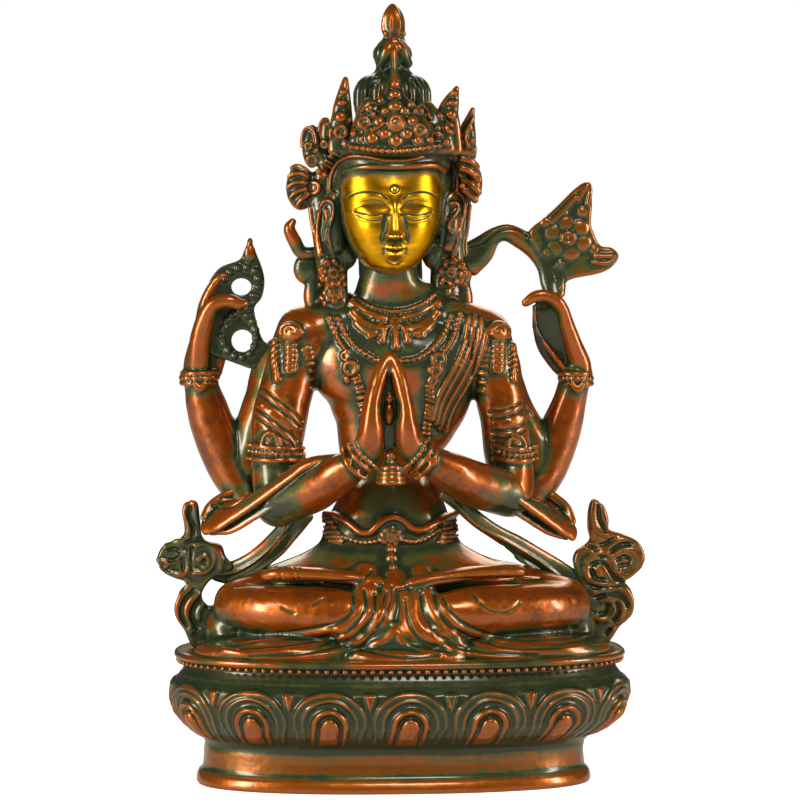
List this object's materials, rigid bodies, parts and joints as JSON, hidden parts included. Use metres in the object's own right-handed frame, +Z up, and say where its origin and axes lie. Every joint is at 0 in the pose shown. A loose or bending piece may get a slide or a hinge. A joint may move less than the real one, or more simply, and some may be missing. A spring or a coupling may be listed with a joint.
{
  "type": "avalokiteshvara statue",
  "caption": "Seated multi-armed bodhisattva statuette with folded hands, lotus and rosary, cast in one with an oval lotus pedestal; stands by its own weight.",
  "frame": {"origin": "middle of the pedestal's flat underside, on the surface it stands on", "axes": "+Z up, -Y the way the figure faces, +X to the side of the hand with the lotus"},
  "size_m": [0.1282, 0.0737, 0.2035],
  "materials": {
    "patinated_brass": "polished coppery high points over a dark green patina, with a gilded face"
  },
  "bodies": {
    "root": {"statue": "patinated_brass"}
  },
  "joints": []
}
